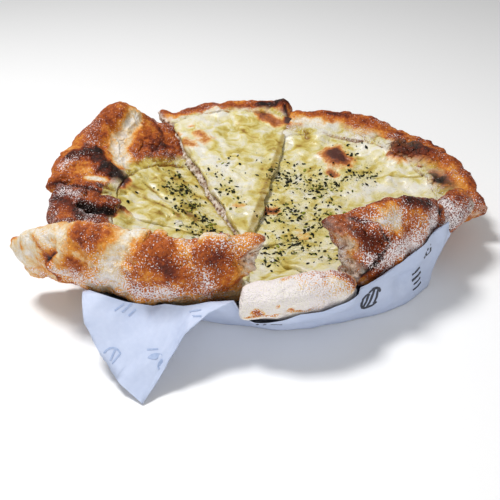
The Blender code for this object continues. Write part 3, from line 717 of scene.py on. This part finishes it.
def tintOf(spec, found, points, hollow, strand):
    # painted shade and highlight: hollows and creases turn darker gold and ridges whiter; yellow, pale, strands
    # and herb dust are the cheese's own colour
    tint = spec["tint"] + 0.22 * found["yellow"] + 0.3 * found["crease"] - 0.3 * found["pale"]
    return tint + 0.10 * hollow + 0.32 * strand + 0.08 * herbAmount(points)


def reshape(piece, points, lowest):
    # all points go to their new places, and their normals and hollows are found again
    points[:, 2] = np.maximum(points[:, 2], lowest)
    setPoints(piece, points)
    normals = normalsOf(piece)
    return normals, hollowOf(piece, points, normals)


def makeCrust(name, spec):
    piece = workCopy(name + "_bread", "crust_" + name)
    guide = workCopy(name + "_cheese", "guide")
    layer = treeOf(guide)
    bpy.data.objects.remove(guide, do_unlink=True)
    rounding = piece.modifiers.new("rounding", "SUBSURF")
    rounding.levels = rounding.render_levels = bread["roundings"]
    points, normals = roughen(piece, bread, spec.get("rough", 1.0))
    # how far every point lies from the cheese layer
    far = np.array([layer.find_nearest(point)[3] / mm for point in points * mm])
    warp, broad = ripple(points, 5.0, 3.1), ripple(points, 14.0, 7.7)
    found, lift, move = applyMarks(points, spec, warp, 1.0)
    # the crust rises to meet the cheese with a ragged edge
    rises = (bread["rises"] + bread["ragged"] * broad) * ease(0.45, 1.3, far) * (1 - ease(6, 22, far))
    lift += rises * ease(-0.2, 0.3, normals[:, 2])
    sides, opened = np.zeros(len(points)), np.zeros(len(points))
    push = np.zeros_like(points)
    torn = bread["pores"] * np.abs(ripple(points, 2.2, 11.0)) + bread["lumpy"] * np.abs(warp)
    for cut in cutsOf(name):
        away, across, gape = sideDistance(points, cut, name)
        cutFace = ease(0.55, 0.85, -(normals[:, :2] @ across)) * (1 - ease(5.0, 9.0, away))
        drawn = max(0.0, gape)
        sides = np.maximum(sides, cutFace)
        opened = np.maximum(opened, cutFace * min(1.0, 2.2 * drawn))
        push[:, :2] += np.outer(cutFace * torn * (0.25 + drawn), across)
        push[:, :2] += np.outer((1 - ease(*drawnOver, away)) * min(0.0, gape), across)
        # a slice that lies open shows its cut side, which leans out below the cheese
        push[:, :2] -= np.outer(cutFace * ease(0.5, 7.0, far) * bread["leans"] * drawn, across)
    points = points + normals * (lift * (1 - sides))[:, None] + push + move + wander(points)
    normals, hollow = reshape(piece, points, bread["lowest"])
    brown, char, pale = found["brown"], found["char"], found["pale"]
    bake = spec["bake"] + bread["uneven"] * broad - 0.08 * hollow
    bake += (bread["gold"] - bake) * found["gold"]
    bake *= 1 - 0.95 * pale
    bake += (bread["brown"] + 0.1 * warp - bake) * np.clip(1.1 * brown, 0, 1)
    bake *= 1 - 0.5 * pale
    # char is burnt crust; the crease term is painted shade along creases and the feet of folds
    bake += (bread["char"] - bake) * char + bread["crease"] * found["crease"]
    under = ease(0.1, -0.7, normals[:, 2])
    bake = np.where(brown + char > 0.3, bake, bake - 0.06 * under)
    film = (1 - ease(0.4, 1.0, (far + 6.0 * broad + 3.0 * warp) / spec["film"])) * ease(-0.1, 0.4, normals[:, 2])
    flour = spec["dust"] + 0.35 * broad + found["flour"] - 0.25 * char - 0.15 * brown
    # hollow carries painted shade for sunken places, weaker on pale marks
    setAttributes(
        piece, bake=bake, flour=np.clip(flour, 0, bread["mostFlour"]), film=film * (1 - brown) * (1 - char),
        crumb=np.maximum(found["crumb"], opened * ease(-0.35, 0.1, warp + 0.35)) * (1 - 0.85 * brown),
        tint=tintOf(spec, found, points, hollow, strandsOf(points)), hollow=hollow * (1 - 0.8 * pale))
    finishPiece(piece, crustMaterial, "crust_" + name, name + "_bread")
    return piece, points[(far > 3.5) & (normals[:, 2] > -0.2)]


def makeCheese(name, spec, exposed):
    piece = workCopy(name + "_cheese", "cheese_" + name)
    swell = piece.modifiers.new("swell", "DISPLACE")
    swell.strength = cheese["swell"] * mm
    swell.mid_level = 0.0
    points, normals = roughen(piece, cheese)
    # how far every point lies from bare crust
    tree = KDTree(len(exposed))
    for i, point in enumerate(exposed):
        tree.insert(point, i)
    tree.balance()
    far = np.array([tree.find(point)[2] for point in points])
    warp, broad = ripple(points, 5.0, 3.1), ripple(points, 16.0, 2.7)
    found, lift, move = applyMarks(points, spec, 0.5 * warp, 1.2)
    strand = strandsOf(points)
    for cut in cutsOf(name):
        away, across, gape = sideDistance(points, cut, name)
        drawn = (1 - ease(*drawnOver, away)) * min(0.0, gape)
        drawn += (1 - ease(0.5, 2.2, away)) * (gape - cheese["gap"])
        points[:, :2] += np.outer(drawn, across)
    points = points + normals * (lift + cheese["strands"] * strand)[:, None] + move + wander(points)
    normals, hollow = reshape(piece, points, cheese["lowest"])
    # painted shadow: along the cuts beside the wedge the cheese is darkened through its hollow attribute
    for cut in cutsOf(name):
        if cut in shownCuts:
            hollow += cheese["shadow"] * (1 - ease(0.3, 2.4 + warp, sideDistance(points, cut, name)[0]))
    toasted = spec["toast"] * np.exp(-(far / cheese["near"]) ** 2) * np.clip(0.9 + 1.2 * broad, 0, 1)
    bake = 0.02 + toasted + cheese["uneven"] * broad - cheese["pale"] * found["pale"]
    for kind in ("brown", "char"):
        bake = np.maximum(bake, cheese[kind] * found[kind])
    setAttributes(piece, hollow=hollow, bake=bake, tint=tintOf(spec, found, points, hollow, strand),
                  herbs=herbAmount(points))
    finishPiece(piece, cheeseMaterial, "cheese_" + name, name + "_cheese")
    return piece


cheeses = {}
crusts = {}
for name, spec in slices.items():
    crusts[name], exposed = makeCrust(name, spec)
    cheeses[name] = makeCheese(name, spec, exposed)
    print("slice", name, len(crusts[name].data.polygons), len(cheeses[name].data.polygons))

# herbs


def makeHerbs():
    rng = random.Random(herbs["seed"])
    trees = [treeOf(piece) for piece in cheeses.values()]
    spots = []
    for (x, y), spread, count in herbs["clusters"]:
        spots += [(rng.gauss(x, spread * 0.55), rng.gauss(y, spread * 0.55)) for _ in range(count * 2)]
    for _ in range(herbs["stray"]):
        turn, far = rng.uniform(0, math.tau), rng.uniform(5, 95)
        spots.append((far * math.sin(turn) - 12, far * math.cos(turn) - 18))
    corners, faces, shades = [], [], []
    for x, y in spots:
        hits = [tree.ray_cast(Vector((x, y, 120)) * mm, down)[:2] for tree in trees]
        hits = [(hit, up) for hit, up in hits if hit is not None]
        if not hits:
            continue
        hit, up = max(hits, key=lambda found: found[0].z)
        if up.z < 0.2:
            continue
        size = herbs["shortest"] + (herbs["longest"] - herbs["shortest"]) * rng.random() ** 1.4
        wide = size * rng.uniform(0.28, 0.65)
        ahead = Vector((rng.uniform(-1, 1), rng.uniform(-1, 1), rng.uniform(-0.25, 0.25)))
        ahead = (ahead - up * ahead.dot(up) * 0.8).normalized()
        beside = up.cross(ahead).normalized()
        place = hit / mm + up * rng.uniform(0.1, 0.35)
        curl = rng.uniform(-0.25, 0.35) * size
        first = len(corners)
        for thick in (0.0, herbs["thick"]):
            for u, v, w in herbs["outline"]:
                jitter = 1 + rng.uniform(-0.15, 0.15)
                flat = ahead * u * size * jitter + beside * v * wide * jitter
                corners.append((place + flat + up * (w * curl + thick)) * mm)
        faces.append([first + i for i in range(5, -1, -1)])
        faces.append([first + 6 + i for i in range(6)])
        for i in range(6):
            j = (i + 1) % 6
            faces.append([first + i, first + j, first + 6 + j, first + 6 + i])
        shades += [rng.random() ** 2] * 12
    piece = newPiece("herb_flakes", corners, faces)
    setAttributes(piece, shade=np.array(shades))
    finishPiece(piece, herbMaterial, None)
    print("herb flakes", len(corners) // 12)


makeHerbs()

# paper

# the case is a creased sheet. Its wall leans in towards the slices between the angles (degrees, clockwise
# from the back), gives way to the bread with some clearance, and its print is plain bars, a ring and leaves.
# printed: kind, place in mm, length or radius, width, tilt in degrees
paper = {
    "lean": (108, 122, 168, 182), "inwards": 6.0, "upwards": 2.8, "creases": ((26, 1.6), (9, 0.7)),
    "clearance": 1.0, "against": ("front", "front_right", "right"), "ink": 0.28, "smoothUnder": 40,
    "printed": [
        ("ring", (62, -88, 19), 7.2, 1.7, 0), ("bar", (62, -88, 19), 12.5, 2.0, 80),
        ("bar", (59, -90, 19), 10.0, 1.7, 80), ("bar", (65, -86, 19), 10.0, 1.7, 80),
        ("bar", (94, -61, 35), 8.0, 1.6, 65), ("bar", (97, -57, 36), 8.0, 1.6, 65),
        ("bar", (95, -59, 32), 6.0, 1.2, 0), ("bar", (90, -62, 22), 7.5, 1.3, 15),
        ("bar", (90, -61, 18), 9.0, 1.5, 15), ("bar", (91, -60, 14), 7.0, 1.1, 15),
        ("bar", (91, -59, 10), 8.0, 1.1, 15), ("bar", (-4, -113, 22), 4.5, 1.2, 80),
        ("bar", (0, -113, 22), 4.5, 1.2, 80), ("bar", (6, -112, 22), 6.0, 1.2, 10),
    ],
    "shown through": [
        ("bar", (-77, -112, 32), 6.0, 0.8, 40), ("bar", (-73, -112, 31), 8.0, 0.8, 40),
        ("bar", (-70, -113, 29), 5.0, 0.8, 40), ("ring", (-79, -131, 14), 4.6, 0.9, 0),
        ("bar", (-79, -131, 14), 8.4, 0.9, 70), ("bar", (-77, -132, 14), 7.0, 0.8, 70),
        ("leaf", (-56, -133, 16), 7.5, 1.6, 20), ("leaf", (-54, -135, 13), 5.5, 1.2, 60),
        ("bar", (-58, -131, 20), 6.0, 0.8, 20), ("bar", (-36, -116, 33), 7.0, 0.8, 10),
        ("bar", (-35, -118, 30), 5.0, 0.8, 10),
    ],
}


def outwardsOf(points):
    # clockwise angle from the back in degrees, and distance from the middle of the case
    return np.degrees(np.arctan2(points[:, 0], points[:, 1])) % 360, np.hypot(points[:, 0], points[:, 1])


def clearOfBread(points):
    # how far the wall has to give way outwards so that the slices in front lie inside it, in mm
    trees = [treeOf(crusts[name]) for name in paper["against"]]
    step = 2.0
    turns, levels = np.arange(90, 190, step), np.arange(2, 52, step)
    reach = np.zeros((len(turns), len(levels)))
    for i, turn in enumerate(turns):
        out = Vector((math.sin(math.radians(turn)), math.cos(math.radians(turn)), 0))
        for j, level in enumerate(levels):
            for tree in trees:
                hit = tree.ray_cast((out * 200 + Vector((0, 0, level))) * mm, -out)[0]
                if hit is not None:
                    reach[i, j] = max(reach[i, j], math.hypot(hit.x, hit.y) / mm)
    for blend in (np.max, np.mean):
        padded = np.pad(reach, 1, mode="edge")
        reach = blend([padded[i:i + len(turns), j:j + len(levels)] for i in range(3) for j in range(3)], axis=0)
    turn, far = outwardsOf(points)
    column = np.clip((turn - turns[0]) / step, 0, len(turns) - 1.001)
    row = np.clip((points[:, 2] - levels[0]) / step, 0, len(levels) - 1.001)
    i, j = column.astype(int), row.astype(int)
    u, v = column - i, row - j
    limit = (reach[i, j] * (1 - u) + reach[i + 1, j] * u) * (1 - v)
    limit += (reach[i, j + 1] * (1 - u) + reach[i + 1, j + 1] * u) * v
    near = ease(92, 100, turn) * (1 - ease(180, 186, turn)) * ease(6, 12, points[:, 2])
    return np.maximum(0, limit + paper["clearance"] - far) * near


def makePaper():
    piece = workCopy("paper_liner", "greaseproof_liner")
    folds = piece.modifiers.new("folds", "SUBSURF")
    folds.subdivision_type = "SIMPLE"
    folds.levels = folds.render_levels = 2
    applyModifiers(piece)
    points = pointsOf(piece)
    turn, far = outwardsOf(points)
    outwards = points * (1, 1, 0) / np.maximum(far, 1)[:, None]
    a, b, c, d = paper["lean"]
    weight = ease(a, b, turn) * (1 - ease(c, d, turn)) * ease(4, 34, points[:, 2])
    points += outwards * (-paper["inwards"] * weight)[:, None]
    points[:, 2] += paper["upwards"] * weight
    # creases are sharp ridges, so each is the fold line of a noise; both faces move together
    height = np.zeros(len(points))
    for size, deep in paper["creases"]:
        height += deep * (0.5 - 2.2 * np.abs(ripple(points, size, size)))
    height *= ease(1.5, 9, points[:, 2])
    points += outwards * height[:, None]
    points[:, 2] += 0.5 * height
    points += outwards * clearOfBread(points)[:, None]
    setPoints(piece, points)
    finishPiece(piece, paperMaterial, "paper", "paper_liner")
    bpy.ops.object.shade_smooth_by_angle(angle=math.radians(paper["smoothUnder"]))
    return piece


def shapeLine(kind, size, wide, tilt):
    # middle line and half width of a printed shape, in mm
    steps = 16 if kind == "ring" else 8
    line = []
    for i in range(steps + 1):
        t = i / steps
        if kind == "ring":
            line.append((size * math.cos(math.tau * t), size * math.sin(math.tau * t), wide / 2))
        else:
            half = wide / 2 if kind == "bar" else wide * math.sin(math.pi * (0.06 + 0.88 * t))
            at = (t - 0.5) * size
            line.append((at * math.cos(math.radians(tilt)), at * math.sin(math.radians(tilt)), half))
    return line


def makePrint(name, sheet, shapes, material):
    tree = treeOf(sheet)
    corners, faces = [], []
    for kind, at, size, wide, tilt in shapes:
        hit, up = tree.find_nearest(Vector(at) * mm)[:2]
        if up.dot(Vector((at[0], at[1], 0))) < 0:  # print lies on the outer face
            hit, up = tree.find_nearest(hit - up * 0.9 * mm)[:2]
        rise = (Vector((0, 0, 1)) - up * up.z).normalized()
        beside = rise.cross(up)
        first, line = len(corners), shapeLine(kind, size, wide, tilt)
        for i, (x, y, half) in enumerate(line):
            ahead, behind = line[min(i + 1, len(line) - 1)], line[max(i - 1, 0)]
            way = Vector((ahead[0] - behind[0], ahead[1] - behind[1])).normalized()
            for side in (-half, half):
                flat = hit + (beside * (x - way.y * side) + rise * (y + way.x * side)) * mm
                near, nearUp = tree.find_nearest(flat)[:2]
                corners += [near + nearUp * 0.02 * mm, near + nearUp * paper["ink"] * mm]
        for i in range(len(line) - 1):
            a, b = first + 4 * i, first + 4 * i + 4
            faces += [(a + 1, a + 3, b + 3, b + 1), (a, b, b + 2, a + 2), (a, a + 1, b + 1, b),
                      (a + 2, b + 2, b + 3, a + 3)]
        last = first + 4 * (len(line) - 1)
        faces += [(first, first + 2, first + 3, first + 1), (last, last + 1, last + 3, last + 2)]
    piece = newPiece(name, corners, faces)
    editAll(piece, bpy.ops.mesh.normals_make_consistent, inside=False)
    finishPiece(piece, material, None)
    bpy.ops.object.shade_smooth_by_angle(angle=math.radians(paper["smoothUnder"]))


sheet = makePaper()
makePrint("print_on_paper", sheet, paper["printed"], printedInk("printed_ink", "#2A2C36", "#3A3C48"))
makePrint("print_showing_through", sheet, paper["shown through"],
          printedInk("ink_seen_through_paper", "#93A6C8", "#A4B4D2"))
print("paper made")

# studio

studio = {
    "floor": "#F6F6F6", "floorSize": 4, "floorHeight": -0.0004, "floorRough": 0.9, "sky": 0.30,
    "lights": {"key": ((-0.35, 0.05, 0.9), 0.22, 7.6), "fill": ((0.15, -1.1, 0.42), 0.7, 5.0)},
    "aim": (0, 0, 0.03), "lens": 54.144, "camera": (0, -0.42702, 0.26937), "turned": (57.45, 0, 1.447),
}
bpy.ops.mesh.primitive_plane_add(size=studio["floorSize"], location=(0, 0, studio["floorHeight"]))
floor = bpy.context.active_object
floor.name = "studio_floor"
floorMaterial, _, floorShader, _ = newMaterial("matt_white_sweep")
floorShader.inputs["Base Color"].default_value = linear(studio["floor"])
floorShader.inputs["Roughness"].default_value = studio["floorRough"]
floor.data.materials.append(floorMaterial)

for lightName, (at, size, power) in studio["lights"].items():
    lamp = bpy.data.lights.new(lightName, "AREA")
    lamp.size = size
    lamp.energy = power
    holder = bpy.data.objects.new(lightName, lamp)
    holder.location = at
    holder.rotation_euler = (Vector(studio["aim"]) - Vector(at)).to_track_quat("-Z", "Y").to_euler()
    scene.collection.objects.link(holder)
world = bpy.data.worlds.new("studio")
world.use_nodes = True
world.node_tree.nodes["Background"].inputs["Color"].default_value = (1, 1, 1, 1)
world.node_tree.nodes["Background"].inputs["Strength"].default_value = studio["sky"]
scene.world = world
scene.view_settings.view_transform = "Standard"

lens = bpy.data.cameras.new("camera")
lens.lens = studio["lens"]
lens.sensor_width = 36
lens.clip_start = 0.01
camera = bpy.data.objects.new("camera", lens)
camera.location = studio["camera"]
camera.rotation_euler = [math.radians(angle) for angle in studio["turned"]]
scene.collection.objects.link(camera)
scene.camera = camera
